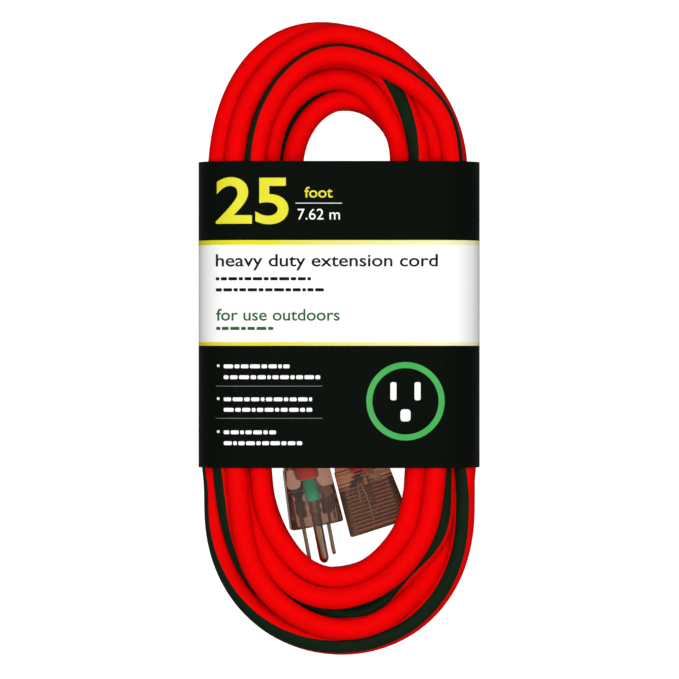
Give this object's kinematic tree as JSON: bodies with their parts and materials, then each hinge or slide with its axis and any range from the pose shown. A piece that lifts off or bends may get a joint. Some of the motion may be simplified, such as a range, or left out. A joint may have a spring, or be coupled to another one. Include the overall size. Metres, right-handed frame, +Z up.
{
  "type": "extension cord",
  "caption": "Heavy outdoor extension cord wound in an oval hank inside a printed card sleeve, with a translucent three-pin plug and a translucent socket connector.",
  "frame": {"origin": "centre of the footprint, on the surface that the hank lies on", "axes": "+Z up out of the printed side of the sleeve, +Y along the hank towards the end away from the plug, +X across the hank"},
  "size_m": [0.141, 0.318, 0.045],
  "materials": {
    "jacket": "satin red PVC with one flush dark green stripe",
    "card": "coated board, printed black, yellow, green and white",
    "plug_shell": "translucent smoky mauve-brown, glossy",
    "connector_shell": "translucent dark smoky brown, glossy",
    "insert": "translucent smoky",
    "contact_brass": "satin",
    "copper": "bare stranded copper",
    "green_insulation": "satin",
    "black_insulation": "satin",
    "white_insulation": "satin",
    "lamp_glass": "clear neon lamp",
    "resistor_body": "lacquered"
  },
  "bodies": {
    "cord": {"cord_hank": "jacket", "plug_tail": "jacket", "connector_tail": "jacket", "plug_body": "plug_shell", "plug_blade_holder": "insert", "plug_line_blade": "contact_brass", "plug_neutral_blade": "contact_brass", "plug_ground_pin": "contact_brass", "plug_jacket_end": "jacket", "plug_line_conductor": "black_insulation", "plug_line_copper_strands": "copper", "plug_neutral_conductor": "white_insulation", "plug_neutral_copper_strands": "copper", "plug_ground_conductor": "green_insulation", "plug_ground_copper_strands": "copper", "connector_body": "connector_shell", "connector_contact_carrier": "insert", "connector_line_contact": "contact_brass", "connector_neutral_contact": "contact_brass", "connector_ground_contact": "contact_brass", "connector_indicator_lamp": "lamp_glass", "connector_lamp_resistor": "resistor_body", "connector_jacket_end": "jacket", "connector_line_conductor": "black_insulation", "connector_line_copper_strands": "copper", "connector_neutral_conductor": "white_insulation", "connector_neutral_copper_strands": "copper", "connector_ground_conductor": "green_insulation", "connector_ground_copper_strands": "copper"},
    "sleeve": {"card_sleeve": "card"}
  },
  "joints": [
    {"name": "sleeve_slide", "type": "slide", "parent": "cord", "child": "sleeve", "axis": [0, 1, 0], "range_m": [-0.25, 0.225]}
  ]
}
